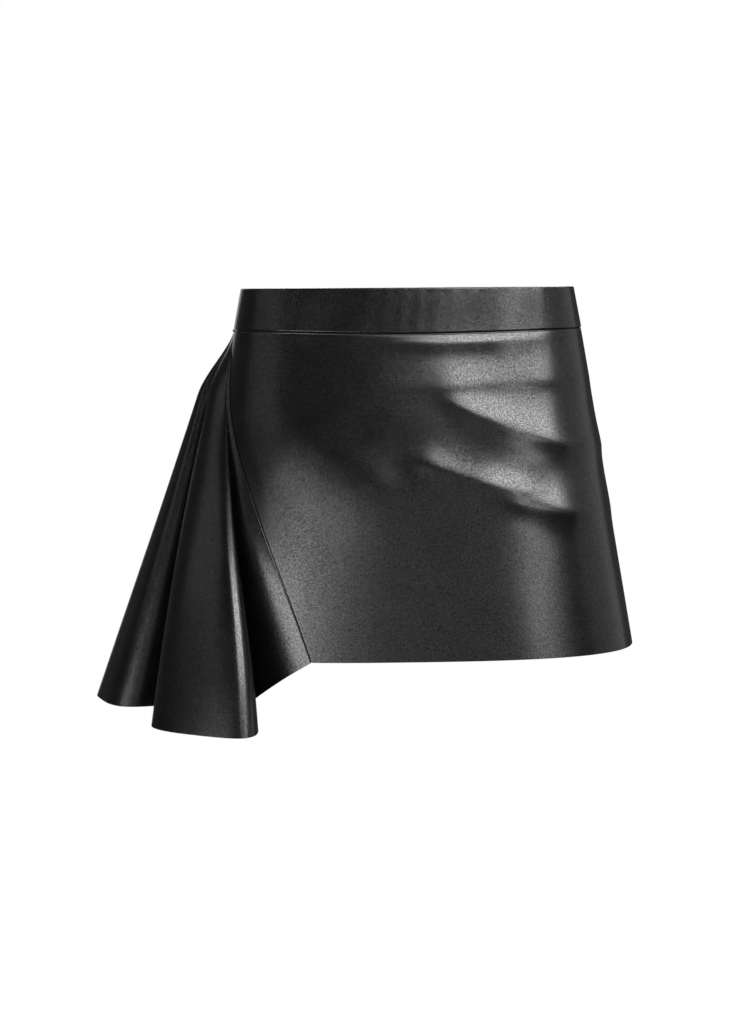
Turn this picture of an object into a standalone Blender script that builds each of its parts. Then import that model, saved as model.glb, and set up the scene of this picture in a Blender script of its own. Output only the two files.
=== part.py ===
"""Leather mini skirt with a flounce let into one side, standing open as if worn.

Metres, +Z up. The front faces -Y and the wearer's left side is at +X. The origin is the middle of the
waistband, where the waist holds it. A drop is a distance down from the waistband's top edge, and an angle
goes round from the wearer's right side: 0 is that side, 90 the centre front, 180 the left side and 270 the
centre back.
"""

import math

import bmesh
import bpy
import numpy as np

# --- driving sizes -------------------------------------------------------------------------------------
BAND_HEIGHT = 0.037  # waistband, at the side seams
BAND_FRONT_DIP = 0.003  # how much lower its seam hangs at the centre front
HEM_RISE = 0.0025  # how much shorter the skirt is at the wearer's left side
BAND_WALL = 0.0026  # folded leather with its stay inside
BAND_PROUD = 0.0006  # the band's face stands this far off the panels below it
SKIRT_LENGTH = 0.325  # top edge to hem, without the flounce
PANEL_WALL = 0.0012  # one layer of leather
SEAM_GAP = 0.0003

# The figure's level sections: half its width, how far it reaches forward and back, and its squareness,
# for which 2 would be an ellipse and more is squarer at the hips.
SECTION_COLUMNS = ("drop", "half_width", "front", "back", "power")
SECTIONS = (
    (0.000, 0.1503, 0.0950, 0.1000, 2.46),
    (0.037, 0.1573, 0.1016, 0.1080, 2.40),
    (0.120, 0.1708, 0.1201, 0.1330, 2.38),
    (0.200, 0.1835, 0.1328, 0.1460, 2.50),
    (0.325, 0.2040, 0.1429, 0.1560, 2.70),
    (0.400, 0.2160, 0.1474, 0.1600, 2.80),
)

# The seam that joins the front panel to the flounce. The back has the same seam mirrored.
FLOUNCE_SEAM_COLUMNS = ("drop", "angle")
FLOUNCE_SEAM = (
    (0.037, 5.0),
    (0.100, 16.5),
    (0.180, 34.8),
    (0.250, 47.6),
    (0.325, 58.4),
    (0.400, 67.0),
)

# Soft drag folds of the panels: a ridge from one end to the other. across is the height of the ridge's
# flank and rise is how far its crest stands out; x and drop are seen from the front, or from the back.
PANEL_FOLD_COLUMNS = ("x0", "drop0", "x1", "drop1", "across", "rise")
FRONT_FOLDS = (
    (-0.010, 0.050, 0.125, 0.047, 0.008, 0.0012),
    (0.020, 0.086, 0.150, 0.074, 0.016, 0.0010),
    (0.038, 0.104, 0.150, 0.140, 0.014, 0.0038),
    (0.000, 0.150, 0.155, 0.202, 0.015, 0.0042),
    (-0.125, 0.112, -0.005, 0.190, 0.034, 0.0030),
)
BACK_FOLDS = (
    (-0.110, 0.070, 0.080, 0.062, 0.012, 0.0018),
    (-0.090, 0.125, 0.120, 0.105, 0.016, 0.0024),
    (-0.040, 0.190, 0.130, 0.150, 0.022, 0.0022),
)

# The flounce's folds from the front seam to the middle of the side; the back half is their mirror image.
# share places the line between the seam (1) and the side (0) on the figure, starts is the drop at which it
# leaves the figure, and x, y and hem are where it ends at the flounce's edge.
FOLD_COLUMNS = ("name", "share", "starts", "x", "y", "hem")
FLOUNCE_FOLDS = (
    ("seam_side", 0.990, 0.200, -0.108, -0.1295, 0.338),
    ("seam_fall", 0.978, 0.150, -0.135, -0.115, 0.360),
    ("front_valley", 0.967, 0.120, -0.150, -0.082, 0.373),
    ("front_lobe_inner", 0.952, 0.130, -0.127, -0.150, 0.380),
    ("front_lobe_crest", 0.920, 0.125, -0.131, -0.207, 0.381),
    ("front_lobe_face", 0.70, 0.100, -0.186, -0.175, 0.381),
    ("front_lobe_outer", 0.48, 0.095, -0.239, -0.136, 0.381),
    ("side_valley_flank", 0.33, 0.085, -0.208, -0.080, 0.376),
    ("side_valley", 0.23, 0.080, -0.178, -0.012, 0.376),
    ("side_lobe_ridge", 0.13, 0.062, -0.260, -0.080, 0.375),
    ("side_lobe_face", 0.06, 0.045, -0.282, -0.024, 0.373),
)
SIDE_LOBE_CREST = ("side_lobe_crest", 0.0, 0.040, -0.291, 0.0, 0.372)
SHOULDER_RISE = 0.0165  # the flounce stands off the hip this far, just below the waist
SHOULDER_DEPTH = 0.060  # and takes this much drop to get there
FOLD_START_SOFTNESS = 0.12

# The zip is let into the centre back seam from the inside; only its slider and pull stand outside. The
# pull hangs on a crossbar under the slider's bail and swings up on it.
ZIP_TOP = 0.003  # drop of the tape's top end
ZIP_LENGTH = 0.162
ZIP_TAPE_WIDTH = 0.026
ZIP_TAPE_WALL = 0.0010
PULL_DROP = 0.0065  # drop of the pull's crossbar
SLIDER_WIDTH = 0.0070
SLIDER_WALL = 0.0014
SLIDER_ABOVE = 0.0045  # the slider reaches this far above the crossbar
SLIDER_BELOW = 0.0050
BAIL_WIDTH = 0.0020
BAIL_WALL = 0.0008
BAIL_CLEARANCE = 0.0011  # from the crossbar's middle to the bail and to the slider
BAIL_BELOW = 0.0019
CROSSBAR_RADIUS = 0.0006
PULL_HOLE_HALF_WIDTH = 0.0013
PULL_HOLE_END = 0.0040  # how far below the crossbar's middle the pull's hole ends

# The pull from its crossbar down: how far below the crossbar, and half its width there.
PULL_COLUMNS = ("below", "half_width")
PULL_OUTLINE = (
    (0.0000, 0.0025),
    (0.0045, 0.0025),
    (0.0080, 0.0023),
    (0.0140, 0.0027),
    (0.0200, 0.0032),
    (0.0228, 0.0029),
    (0.0240, 0.0018),
)

# Rows go down and columns go round.
PANEL_ROWS = 20
FRONT_COLUMNS = 36
BACK_COLUMNS = 15
FLOUNCE_COLUMNS = 80
BAND_ROWS = 3
TAPE_ROWS = 10
TAPE_COLUMNS = 4

LEFT_SIDE_ANGLE, BACK_ANGLE, RIGHT_SIDE_ANGLE = 180.0, 270.0, 360.0


# --- the figure ----------------------------------------------------------------------------------------
def curve_through(rows, column):
    """A smooth function of the rows' first column that passes through their values in another column."""
    at = np.array([row[0] for row in rows])
    values = np.array([row[column] for row in rows])
    slopes = np.gradient(values, at)

    def value(x):
        x = min(max(x, at[0]), at[-1])
        i = min(int(np.searchsorted(at, x, side="right")) - 1, len(at) - 2)
        step = at[i + 1] - at[i]
        t = (x - at[i]) / step
        return (
            (2 * t**3 - 3 * t**2 + 1) * values[i]
            + (t**3 - 2 * t**2 + t) * step * slopes[i]
            + (3 * t**2 - 2 * t**3) * values[i + 1]
            + (t**3 - t**2) * step * slopes[i + 1]
        )

    return value


half_width_at = curve_through(SECTIONS, SECTION_COLUMNS.index("half_width"))
front_at = curve_through(SECTIONS, SECTION_COLUMNS.index("front"))
back_at = curve_through(SECTIONS, SECTION_COLUMNS.index("back"))
power_at = curve_through(SECTIONS, SECTION_COLUMNS.index("power"))
flounce_seam_at = curve_through(FLOUNCE_SEAM, FLOUNCE_SEAM_COLUMNS.index("angle"))


def smooth(t):
    t = min(max(t, 0.0), 1.0)
    return t * t * (3 - 2 * t)


def height(drop):
    return BAND_HEIGHT / 2 - drop


def figure_point(angle, drop, out=0.0):
    """The point at that angle and drop on the figure, or out beyond it."""
    c, s = math.cos(math.radians(angle)), math.sin(math.radians(angle))
    wide, power = half_width_at(drop), power_at(drop)
    deep = front_at(drop) if s > 0 else back_at(drop)
    reach = (abs(c / wide) ** power + abs(s / deep) ** power) ** (-1 / power)
    return np.array([-(reach + out) * c, -(reach + out) * s, height(drop)])


def figure_normal(angle, drop):
    """The figure's outward direction at that angle and drop."""
    step = 0.1
    along = figure_point(angle + step, drop) - figure_point(angle - step, drop)
    down = figure_point(angle, drop + step / 1000) - figure_point(angle, drop - step / 1000)
    normal = np.cross(down, along)
    return normal / np.linalg.norm(normal)


def turn_for(length, angle, drop):
    """The angle that a length along the figure takes up."""
    x, y, _ = figure_point(angle, drop)
    return math.degrees(length / math.hypot(x, y))


def waist_seam_drop(angle):
    return BAND_HEIGHT + BAND_FRONT_DIP * max(0.0, math.sin(math.radians(angle))) ** 2


def hem_drop(angle):
    return SKIRT_LENGTH - HEM_RISE * (1 - math.cos(math.radians(angle))) / 2


# --- walls ---------------------------------------------------------------------------------------------
def normals_of(points):
    """Outward unit normals of a grid of points whose rows go down and whose columns go round by the front."""
    down = np.gradient(points, axis=0)
    along = np.gradient(points, axis=1)
    normals = np.cross(down, along)
    return normals / np.linalg.norm(normals, axis=2, keepdims=True)


def finish(name, colour, roughness, metallic=0.0):
    material = bpy.data.materials.new(name)
    material.use_nodes = True
    shader = material.node_tree.nodes["Principled BSDF"]
    shader.inputs["Base Color"].default_value = (*colour, 1)
    shader.inputs["Roughness"].default_value = roughness
    shader.inputs["Metallic"].default_value = metallic
    return material


def add_object(name, mesh, material):
    mesh.materials.append(material)
    piece = bpy.data.objects.new(name, mesh)
    bpy.context.scene.collection.objects.link(piece)
    return piece


def mesh_of(name, bm):
    bmesh.ops.recalc_face_normals(bm, faces=bm.faces)
    mesh = bpy.data.meshes.new(name)
    bm.to_mesh(mesh)
    bm.free()
    mesh.shade_smooth()
    mesh.set_sharp_from_angle(angle=math.radians(40))
    return mesh


def add_wall(name, outer, normals, wall, material):
    """A closed wall whose outer side is that grid of points, and whose inner side lies wall further in."""
    rows, columns, _ = outer.shape
    bm = bmesh.new()
    sides = []
    for points in (outer, outer - normals * wall):
        sides.append([[bm.verts.new(point) for point in row] for row in points])
    front, back = sides
    for i in range(rows - 1):
        for j in range(columns - 1):
            bm.faces.new((front[i][j], front[i + 1][j], front[i + 1][j + 1], front[i][j + 1]))
            bm.faces.new((back[i][j], back[i][j + 1], back[i + 1][j + 1], back[i + 1][j]))
    bmesh.ops.bridge_loops(bm, edges=[edge for edge in bm.edges if edge.is_boundary])
    return add_object(name, mesh_of(name, bm), material)


def panel_fold_rise(folds, x, drop):
    """How far the folds push a panel out at a place seen from the front or the back."""
    rise = 0.0
    for row in folds:
        fold = dict(zip(PANEL_FOLD_COLUMNS, row))
        run = np.array([fold["x1"] - fold["x0"], fold["drop1"] - fold["drop0"]])
        place = np.array([x - fold["x0"], drop - fold["drop0"]])
        length = np.linalg.norm(run)
        along = place @ run / length**2
        off = (run[0] * place[1] - run[1] * place[0]) / length
        fade = smooth((along + 0.15) / 0.4) * smooth((1.25 - along) / 0.4)
        rise += fold["rise"] * fade * math.exp(-((off / fold["across"]) ** 2))
    return rise


def panel(name, angles_at, columns, folds, material):
    """A skirt panel from the waist seam to the hem. angles_at gives its two edges' angles at a drop."""
    outer = np.zeros((PANEL_ROWS + 1, columns + 1, 3))

    def angle_at(drop, share):
        first, last = angles_at(drop)
        return first + (last - first) * share

    for j in range(columns + 1):
        share = j / columns
        top = waist_seam_drop(angle_at(BAND_HEIGHT, share)) + SEAM_GAP / 2
        bottom = hem_drop(angle_at(SKIRT_LENGTH, share))
        for i in range(PANEL_ROWS + 1):
            drop = top + (bottom - top) * i / PANEL_ROWS
            angle = angle_at(drop, share)
            x = figure_point(angle, drop)[0]
            fade = smooth((drop - top) / 0.012) * smooth(share / 0.06) * smooth((1 - share) / 0.06)
            outer[i, j] = figure_point(angle, drop, fade * panel_fold_rise(folds, x, drop))
    return add_wall(name, outer, normals_of(outer), PANEL_WALL, material)


def band(name, first, last, columns, material):
    """A piece of the waistband between two angles."""
    outer = np.zeros((BAND_ROWS + 1, columns + 1, 3))
    for i in range(BAND_ROWS + 1):
        for j in range(columns + 1):
            angle = first + (last - first) * j / columns
            drop = (waist_seam_drop(angle) - SEAM_GAP / 2) * i / BAND_ROWS
            outer[i, j] = figure_point(angle, drop, BAND_PROUD)
    return add_wall(name, outer, normals_of(outer), BAND_WALL, material)


# --- the flounce ---------------------------------------------------------------------------------------
def fold_line(fold, drop_share):
    """The point that share of the way down one fold line of the flounce, whose share is 1 to -1."""
    drop = BAND_HEIGHT + SEAM_GAP / 2 + (fold["hem"] - BAND_HEIGHT - SEAM_GAP / 2) * drop_share
    shoulder = SHOULDER_RISE * smooth((drop - BAND_HEIGHT) / SHOULDER_DEPTH) * (1 - fold["share"] ** 2)

    def figure_at(level):
        return figure_point(fold["share"] * flounce_seam_at(level), level, shoulder)

    def lift(level):
        t = (level - fold["starts"]) / (fold["hem"] - fold["starts"])
        return t + math.hypot(t, FOLD_START_SOFTNESS)

    leaves = (lift(drop) - lift(BAND_HEIGHT)) / (lift(fold["hem"]) - lift(BAND_HEIGHT))
    end = np.array([fold["x"], fold["y"], height(fold["hem"])])
    return figure_at(drop) + leaves * (end - figure_at(fold["hem"]))


def seam_place(side, drop_share):
    """The angle and drop of the flounce's sewn edge: side is 1 at the front and -1 at the back."""
    top = BAND_HEIGHT + SEAM_GAP / 2
    drop = top + (hem_drop(flounce_seam_at(SKIRT_LENGTH)) - top) * drop_share
    angle = flounce_seam_at(drop)
    return side * (angle - turn_for(SEAM_GAP / 2, angle, drop)), drop


def spline_weights(count, samples):
    """Rows of weights that draw a clamped cubic B-spline of that many samples through count points."""
    degree = 3
    knots = np.concatenate([np.zeros(degree), np.linspace(0, 1, count - degree + 1), np.ones(degree)])
    weights = np.zeros((samples, count))
    for row, u in enumerate(np.linspace(0, 1, samples)):
        basis = np.array([1.0 if a <= u < b else 0.0 for a, b in zip(knots, knots[1:])])
        if u == 1:
            basis[count - 1] = 1.0
        for d in range(1, degree + 1):
            raised = np.zeros(len(basis) - 1)
            for i in range(len(raised)):
                if knots[i + d] > knots[i]:
                    raised[i] += (u - knots[i]) / (knots[i + d] - knots[i]) * basis[i]
                if knots[i + d + 1] > knots[i + 1]:
                    raised[i] += (knots[i + d + 1] - u) / (knots[i + d + 1] - knots[i + 1]) * basis[i + 1]
            basis = raised
        weights[row] = basis
    return weights


def flounce_folds():
    """Every fold line from the front seam to the back one."""
    front = [dict(zip(FOLD_COLUMNS, row)) for row in FLOUNCE_FOLDS]
    back = [{**fold, "share": -fold["share"], "y": -fold["y"]} for fold in reversed(front)]
    return front + [dict(zip(FOLD_COLUMNS, SIDE_LOBE_CREST))] + back


def flounce(name, material):
    """The flared piece. Its sewn edges are cut square to the figure, as the panels' edges beside them are."""
    folds = flounce_folds()
    weights = spline_weights(len(folds) + 2, FLOUNCE_COLUMNS + 1)
    outer = np.zeros((PANEL_ROWS + 1, FLOUNCE_COLUMNS + 1, 3))
    for i in range(PANEL_ROWS + 1):
        share = i / PANEL_ROWS
        front_seam, back_seam = figure_point(*seam_place(1, share)), figure_point(*seam_place(-1, share))
        controls = [front_seam] + [fold_line(fold, share) for fold in folds] + [back_seam]
        outer[i] = weights @ np.array(controls)
    normals = -normals_of(outer)
    for i in range(PANEL_ROWS + 1):
        normals[i, 0] = figure_normal(*seam_place(1, i / PANEL_ROWS))
        normals[i, -1] = figure_normal(*seam_place(-1, i / PANEL_ROWS))
    return add_wall(name, outer, normals, PANEL_WALL, material)


# --- the zip -------------------------------------------------------------------------------------------
def zip_tape(material):
    """A strip behind the centre back seam, clear of the band's and the panels' inner sides."""
    outer = np.zeros((TAPE_ROWS + 1, TAPE_COLUMNS + 1, 3))
    for i in range(TAPE_ROWS + 1):
        drop = ZIP_TOP + ZIP_LENGTH * i / TAPE_ROWS
        behind_panel = PANEL_WALL + SEAM_GAP
        behind_band = BAND_WALL - BAND_PROUD + SEAM_GAP
        below_band = smooth((drop - BAND_HEIGHT) / ZIP_TAPE_WIDTH)
        inset = behind_band + (behind_panel - behind_band) * below_band
        for j in range(TAPE_COLUMNS + 1):
            across = ZIP_TAPE_WIDTH * (j / TAPE_COLUMNS - 0.5)
            angle = BACK_ANGLE + turn_for(across, BACK_ANGLE, drop)
            outer[i, j] = figure_point(angle, drop, -inset)
    return add_wall("zip_tape", outer, normals_of(outer), ZIP_TAPE_WALL, material)


def box(low, high):
    """A box between two corners, as a bmesh."""
    bm = bmesh.new()
    bmesh.ops.create_cube(bm, size=1)
    for vert in bm.verts:
        vert.co = [(a + b) / 2 + (b - a) * c for a, b, c in zip(low, high, vert.co)]
    return bm


def hang_on_band(piece):
    """Sets a piece made round the pull's crossbar, facing +Y, at the crossbar's place on the band's back."""
    above = figure_point(BACK_ANGLE, PULL_DROP - SLIDER_ABOVE, BAND_PROUD)
    below = figure_point(BACK_ANGLE, PULL_DROP + SLIDER_BELOW, BAND_PROUD)
    lean = math.atan2(below[1] - above[1], above[2] - below[2])
    out = SEAM_GAP + SLIDER_WALL + BAIL_CLEARANCE
    _, y, z = figure_point(BACK_ANGLE, PULL_DROP, BAND_PROUD)
    piece.location = (0, y + out * math.cos(lean), z + out * math.sin(lean))
    piece.rotation_euler = (lean, 0, 0)


def cutter(name, bm):
    """A hidden object for a Boolean modifier to use."""
    tool = bpy.data.objects.new(name, mesh_of(name, bm))
    bpy.context.scene.collection.objects.link(tool)
    tool.hide_render = True
    tool.display_type = "WIRE"
    hang_on_band(tool)
    return tool


def combine(piece, tool, operation):
    boolean = piece.modifiers.new(tool.name, "BOOLEAN")
    boolean.operation = operation
    boolean.object = tool


def zip_slider(material):
    """A plate with round corners that lies on the band, and the bail that holds the pull."""
    back = -BAIL_CLEARANCE - SLIDER_WALL
    plate = box((-SLIDER_WIDTH / 2, back, -SLIDER_BELOW), (SLIDER_WIDTH / 2, -BAIL_CLEARANCE, SLIDER_ABOVE))
    corners = [e for e in plate.edges if abs(e.verts[0].co.y - e.verts[1].co.y) > SLIDER_WALL / 2]
    bmesh.ops.bevel(plate, geom=corners, offset=SLIDER_WIDTH * 0.3, segments=4, affect="EDGES", profile=0.5)
    slider = add_object("zip_slider", mesh_of("zip_slider", plate), material)
    half = BAIL_WIDTH / 2
    top = BAIL_CLEARANCE + BAIL_WALL
    outer = box((-half, -BAIL_CLEARANCE - SLIDER_WALL / 2, -BAIL_BELOW - BAIL_WALL), (half, top, top))
    outer_corners = [
        e for e in outer.edges if all(v.co.y > 0 for v in e.verts) and abs(e.verts[0].co.x - e.verts[1].co.x) > half
    ]
    bmesh.ops.bevel(outer, geom=outer_corners, offset=BAIL_WALL, segments=3, affect="EDGES", profile=0.5)
    inner = box((-BAIL_WIDTH, -BAIL_CLEARANCE, -BAIL_BELOW), (BAIL_WIDTH, BAIL_CLEARANCE, BAIL_CLEARANCE))
    combine(slider, cutter("bail_outside", outer), "UNION")
    combine(slider, cutter("bail_inside", inner), "DIFFERENCE")
    hang_on_band(slider)
    return slider


def zip_pull(material):
    """A flat tab with a round top edge, and a hole below it that the bail passes through."""
    r = CROSSBAR_RADIUS
    half_width_below = curve_through(PULL_OUTLINE, PULL_COLUMNS.index("half_width"))
    levels = [(r * math.cos(math.radians(a)), r * math.sin(math.radians(a))) for a in (15, 45, 75)]
    levels += [(-row[0], r) for row in PULL_OUTLINE[1:]]
    bm = bmesh.new()
    rings = []
    for z, half_wall in levels:
        half = half_width_below(-z)
        corners = ((-half, -half_wall), (half, -half_wall), (half, half_wall), (-half, half_wall))
        rings.append([bm.verts.new((x, y, z)) for x, y in corners])
    for upper, lower in zip(rings, rings[1:]):
        for k in range(4):
            bm.faces.new((upper[k], upper[(k + 1) % 4], lower[(k + 1) % 4], lower[k]))
    bm.faces.new(rings[0])
    bm.faces.new(rings[-1])
    pull = add_object("zip_pull", mesh_of("zip_pull", bm), material)
    hole = box((-PULL_HOLE_HALF_WIDTH, -2 * r, -PULL_HOLE_END), (PULL_HOLE_HALF_WIDTH, 2 * r, -r))
    combine(pull, cutter("pull_hole", hole), "DIFFERENCE")
    hang_on_band(pull)
    return pull


# --- assembly ------------------------------------------------------------------------------------------
def clear_scene():
    for old in list(bpy.data.objects):
        bpy.data.objects.remove(old, do_unlink=True)


def front_edges(drop):
    start = flounce_seam_at(drop)
    return start + turn_for(SEAM_GAP / 2, start, drop), LEFT_SIDE_ANGLE - turn_for(SEAM_GAP / 2, 180, drop)


def left_back_edges(drop):
    gap = turn_for(SEAM_GAP / 2, BACK_ANGLE, drop)
    return LEFT_SIDE_ANGLE + turn_for(SEAM_GAP / 2, 180, drop), BACK_ANGLE - gap


def right_back_edges(drop):
    gap = turn_for(SEAM_GAP / 2, BACK_ANGLE, drop)
    end = RIGHT_SIDE_ANGLE - flounce_seam_at(drop)
    return BACK_ANGLE + gap, end - turn_for(SEAM_GAP / 2, end, drop)


def main():
    clear_scene()
    skin = finish("black_leather", (0.012, 0.012, 0.012), 0.36)
    woven = finish("zip_tape", (0.010, 0.010, 0.011), 0.85)
    metal = finish("zip_metal", (0.050, 0.050, 0.055), 0.30, metallic=1.0)
    panel("front_panel", front_edges, FRONT_COLUMNS, FRONT_FOLDS, skin)
    panel("back_panel_left", left_back_edges, BACK_COLUMNS, BACK_FOLDS, skin)
    panel("back_panel_right", right_back_edges, BACK_COLUMNS, BACK_FOLDS, skin)
    gap = turn_for(SEAM_GAP / 2, 0, 0)
    band("waistband_front", gap, LEFT_SIDE_ANGLE - gap, FRONT_COLUMNS, skin)
    band("waistband_back_left", LEFT_SIDE_ANGLE + gap, BACK_ANGLE - gap, BACK_COLUMNS, skin)
    band("waistband_back_right", BACK_ANGLE + gap, RIGHT_SIDE_ANGLE - gap, BACK_COLUMNS, skin)
    flounce("flounce", skin)
    zip_tape(woven)
    zip_slider(metal)
    zip_pull(metal)


main()
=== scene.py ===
"""Looks of the leather mini skirt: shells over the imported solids, stitches, stays, zip, lights and camera.

Metres, +Z up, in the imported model's frame: the front faces -Y, the wearer's left side is at +X and the
origin is the middle of the waistband. A drop is a distance down from the waistband's top edge, and an angle
goes round from the wearer's right side: 90 is the centre front, 180 the left side and 270 the centre back.
"""

import math

import bmesh
import bpy
import numpy as np
from mathutils import Matrix, Vector

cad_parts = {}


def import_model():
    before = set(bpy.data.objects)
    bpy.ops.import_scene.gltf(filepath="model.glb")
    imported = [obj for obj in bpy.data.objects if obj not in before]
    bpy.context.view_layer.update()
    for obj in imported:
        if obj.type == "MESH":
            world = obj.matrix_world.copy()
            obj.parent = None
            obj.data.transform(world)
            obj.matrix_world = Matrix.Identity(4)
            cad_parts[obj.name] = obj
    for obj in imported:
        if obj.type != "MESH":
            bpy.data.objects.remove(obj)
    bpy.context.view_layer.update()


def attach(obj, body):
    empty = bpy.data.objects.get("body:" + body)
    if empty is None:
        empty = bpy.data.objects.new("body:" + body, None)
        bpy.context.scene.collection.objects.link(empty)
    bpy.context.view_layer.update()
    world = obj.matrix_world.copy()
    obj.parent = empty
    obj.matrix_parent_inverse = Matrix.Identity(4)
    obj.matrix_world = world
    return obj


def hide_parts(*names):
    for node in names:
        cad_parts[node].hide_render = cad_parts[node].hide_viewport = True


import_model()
SKIRT_BODY, PULL_BODY = "skirt", "zip_pull_tab"

# --- driving sizes: the solids' own, apart from the fold line seam_fall and the creases -----------------
BAND_HEIGHT = 0.037
BAND_FRONT_DIP = 0.003
HEM_RISE = 0.0025
BAND_WALL = 0.0026
BAND_PROUD = 0.0006
SKIRT_LENGTH = 0.325
LEATHER = 0.0012  # one layer
SEAM_GAP = 0.0003

SECTION_COLUMNS = ("drop", "half_width", "front", "back", "power")
SECTIONS = (
    (0.000, 0.1503, 0.0950, 0.1000, 2.46),
    (0.037, 0.1573, 0.1016, 0.1080, 2.40),
    (0.120, 0.1708, 0.1201, 0.1330, 2.38),
    (0.200, 0.1835, 0.1328, 0.1460, 2.50),
    (0.325, 0.2040, 0.1429, 0.1560, 2.70),
    (0.400, 0.2160, 0.1474, 0.1600, 2.80),
)

FLOUNCE_SEAM_COLUMNS = ("drop", "angle")
FLOUNCE_SEAM = (
    (0.037, 5.0),
    (0.100, 16.5),
    (0.180, 34.8),
    (0.250, 47.6),
    (0.325, 58.4),
    (0.400, 67.0),
)

# Fold lines of the flounce's front half: share is a line's part of the seam's angle, starts the drop where
# it leaves the figure, and x, y and hem its place at the hem.
FOLD_COLUMNS = ("name", "share", "starts", "x", "y", "hem")
FLOUNCE_FOLDS = (
    ("seam_side", 0.990, 0.200, -0.108, -0.1295, 0.338),
    ("seam_fall", 0.978, 0.150, -0.138, -0.119, 0.360),
    ("front_valley", 0.967, 0.120, -0.150, -0.082, 0.373),
    ("front_lobe_inner", 0.952, 0.130, -0.127, -0.150, 0.380),
    ("front_lobe_crest", 0.920, 0.125, -0.131, -0.207, 0.381),
    ("front_lobe_face", 0.70, 0.100, -0.186, -0.175, 0.381),
    ("front_lobe_outer", 0.48, 0.095, -0.239, -0.136, 0.381),
    ("side_valley_flank", 0.33, 0.085, -0.208, -0.080, 0.376),
    ("side_valley", 0.23, 0.080, -0.178, -0.012, 0.376),
    ("side_lobe_ridge", 0.13, 0.062, -0.260, -0.080, 0.375),
    ("side_lobe_face", 0.06, 0.045, -0.282, -0.024, 0.373),
)
SIDE_LOBE_CREST = ("side_lobe_crest", 0.0, 0.040, -0.291, 0.0, 0.372)
SHOULDER_RISE = 0.0165
SHOULDER_DEPTH = 0.060
FOLD_START_SOFTNESS = 0.12

# Creases: a ridge from one end to the other, seen from the front or the back. bow is how far its middle
# hangs below the straight line, above and below are the heights of its two flanks, and rise its crest.
# power is 2 for a soft crest and less for a sharper one.
CREASE_COLUMNS = ("x0", "drop0", "x1", "drop1", "bow", "above", "below", "power", "rise")
FRONT_CREASES = (
    (-0.010, 0.047, 0.098, 0.045, 0.001, 0.0060, 0.0090, 2.0, 0.0009),
    (0.000, 0.087, 0.160, 0.082, -0.002, 0.0200, 0.0072, 1.8, 0.0007),
    (0.036, 0.098, 0.165, 0.142, 0.008, 0.0190, 0.0110, 1.5, 0.0036),
    (0.002, 0.146, 0.090, 0.176, 0.003, 0.0150, 0.0130, 1.5, 0.0026),
    (0.070, 0.178, 0.165, 0.200, 0.004, 0.0200, 0.0120, 1.5, 0.0044),
    (-0.125, 0.112, -0.005, 0.190, 0.000, 0.0240, 0.0450, 2.0, 0.0030),
)
BACK_CREASES = (
    (-0.110, 0.056, 0.040, 0.052, 0.001, 0.0100, 0.0100, 2.0, 0.0018),
    (-0.100, 0.078, 0.085, 0.064, 0.004, 0.0180, 0.0090, 1.8, 0.0022),
    (-0.090, 0.128, 0.120, 0.104, 0.006, 0.0240, 0.0110, 1.4, 0.0036),
    (-0.040, 0.196, 0.130, 0.150, 0.008, 0.0300, 0.0160, 1.4, 0.0036),
    (0.100, 0.260, 0.160, 0.215, 0.004, 0.0300, 0.0200, 2.0, 0.0014),
)

LEFT_SIDE, CENTRE_BACK, RIGHT_SIDE = 180.0, 270.0, 360.0
NORMAL_TURN, NORMAL_DROP = 0.1, 0.0001  # the steps that a normal is measured over


# --- the figure and the flounce's lines ------------------------------------------------------------------
def curve_through(rows, column):
    """A smooth function of the rows' first column that passes through their values in another column."""
    at = np.array([row[0] for row in rows])
    values = np.array([row[column] for row in rows])
    slopes = np.gradient(values, at)

    def value(x):
        x = np.clip(x, at[0], at[-1])
        i = np.clip(np.searchsorted(at, x, side="right") - 1, 0, len(at) - 2)
        step = at[i + 1] - at[i]
        t = (x - at[i]) / step
        return (
            (2 * t**3 - 3 * t**2 + 1) * values[i]
            + (t**3 - 2 * t**2 + t) * step * slopes[i]
            + (3 * t**2 - 2 * t**3) * values[i + 1]
            + (t**3 - t**2) * step * slopes[i + 1]
        )

    return value


half_width_at = curve_through(SECTIONS, SECTION_COLUMNS.index("half_width"))
front_at = curve_through(SECTIONS, SECTION_COLUMNS.index("front"))
back_at = curve_through(SECTIONS, SECTION_COLUMNS.index("back"))
power_at = curve_through(SECTIONS, SECTION_COLUMNS.index("power"))
flounce_seam_at = curve_through(FLOUNCE_SEAM, FLOUNCE_SEAM_COLUMNS.index("angle"))


def smooth(t):
    t = np.clip(t, 0.0, 1.0)
    return t * t * (3 - 2 * t)


def figure_points(angle, drop, out=0.0):
    """Points at those angles and drops on the figure, or out beyond it."""
    angle, drop, out = np.broadcast_arrays(angle, drop, out)
    c, s = np.cos(np.radians(angle)), np.sin(np.radians(angle))
    deep = np.where(s > 0, front_at(drop), back_at(drop))
    wide, power = half_width_at(drop), power_at(drop)
    reach = (np.abs(c / wide) ** power + np.abs(s / deep) ** power) ** (-1 / power)
    return np.stack([-(reach + out) * c, -(reach + out) * s, BAND_HEIGHT / 2 - drop], axis=-1)


def figure_normals(angle, drop):
    along = figure_points(angle + NORMAL_TURN, drop) - figure_points(angle - NORMAL_TURN, drop)
    down = figure_points(angle, drop + NORMAL_DROP) - figure_points(angle, drop - NORMAL_DROP)
    return unit(np.cross(down, along))


def unit(vectors):
    return vectors / np.linalg.norm(vectors, axis=-1, keepdims=True)


def turn_for(length, angle, drop):
    """The angle that a length along the figure takes up."""
    p = figure_points(angle, drop)
    return np.degrees(length / np.hypot(p[..., 0], p[..., 1]))


def waist_seam_drop(angle):
    return BAND_HEIGHT + BAND_FRONT_DIP * np.maximum(0.0, np.sin(np.radians(angle))) ** 2


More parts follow.
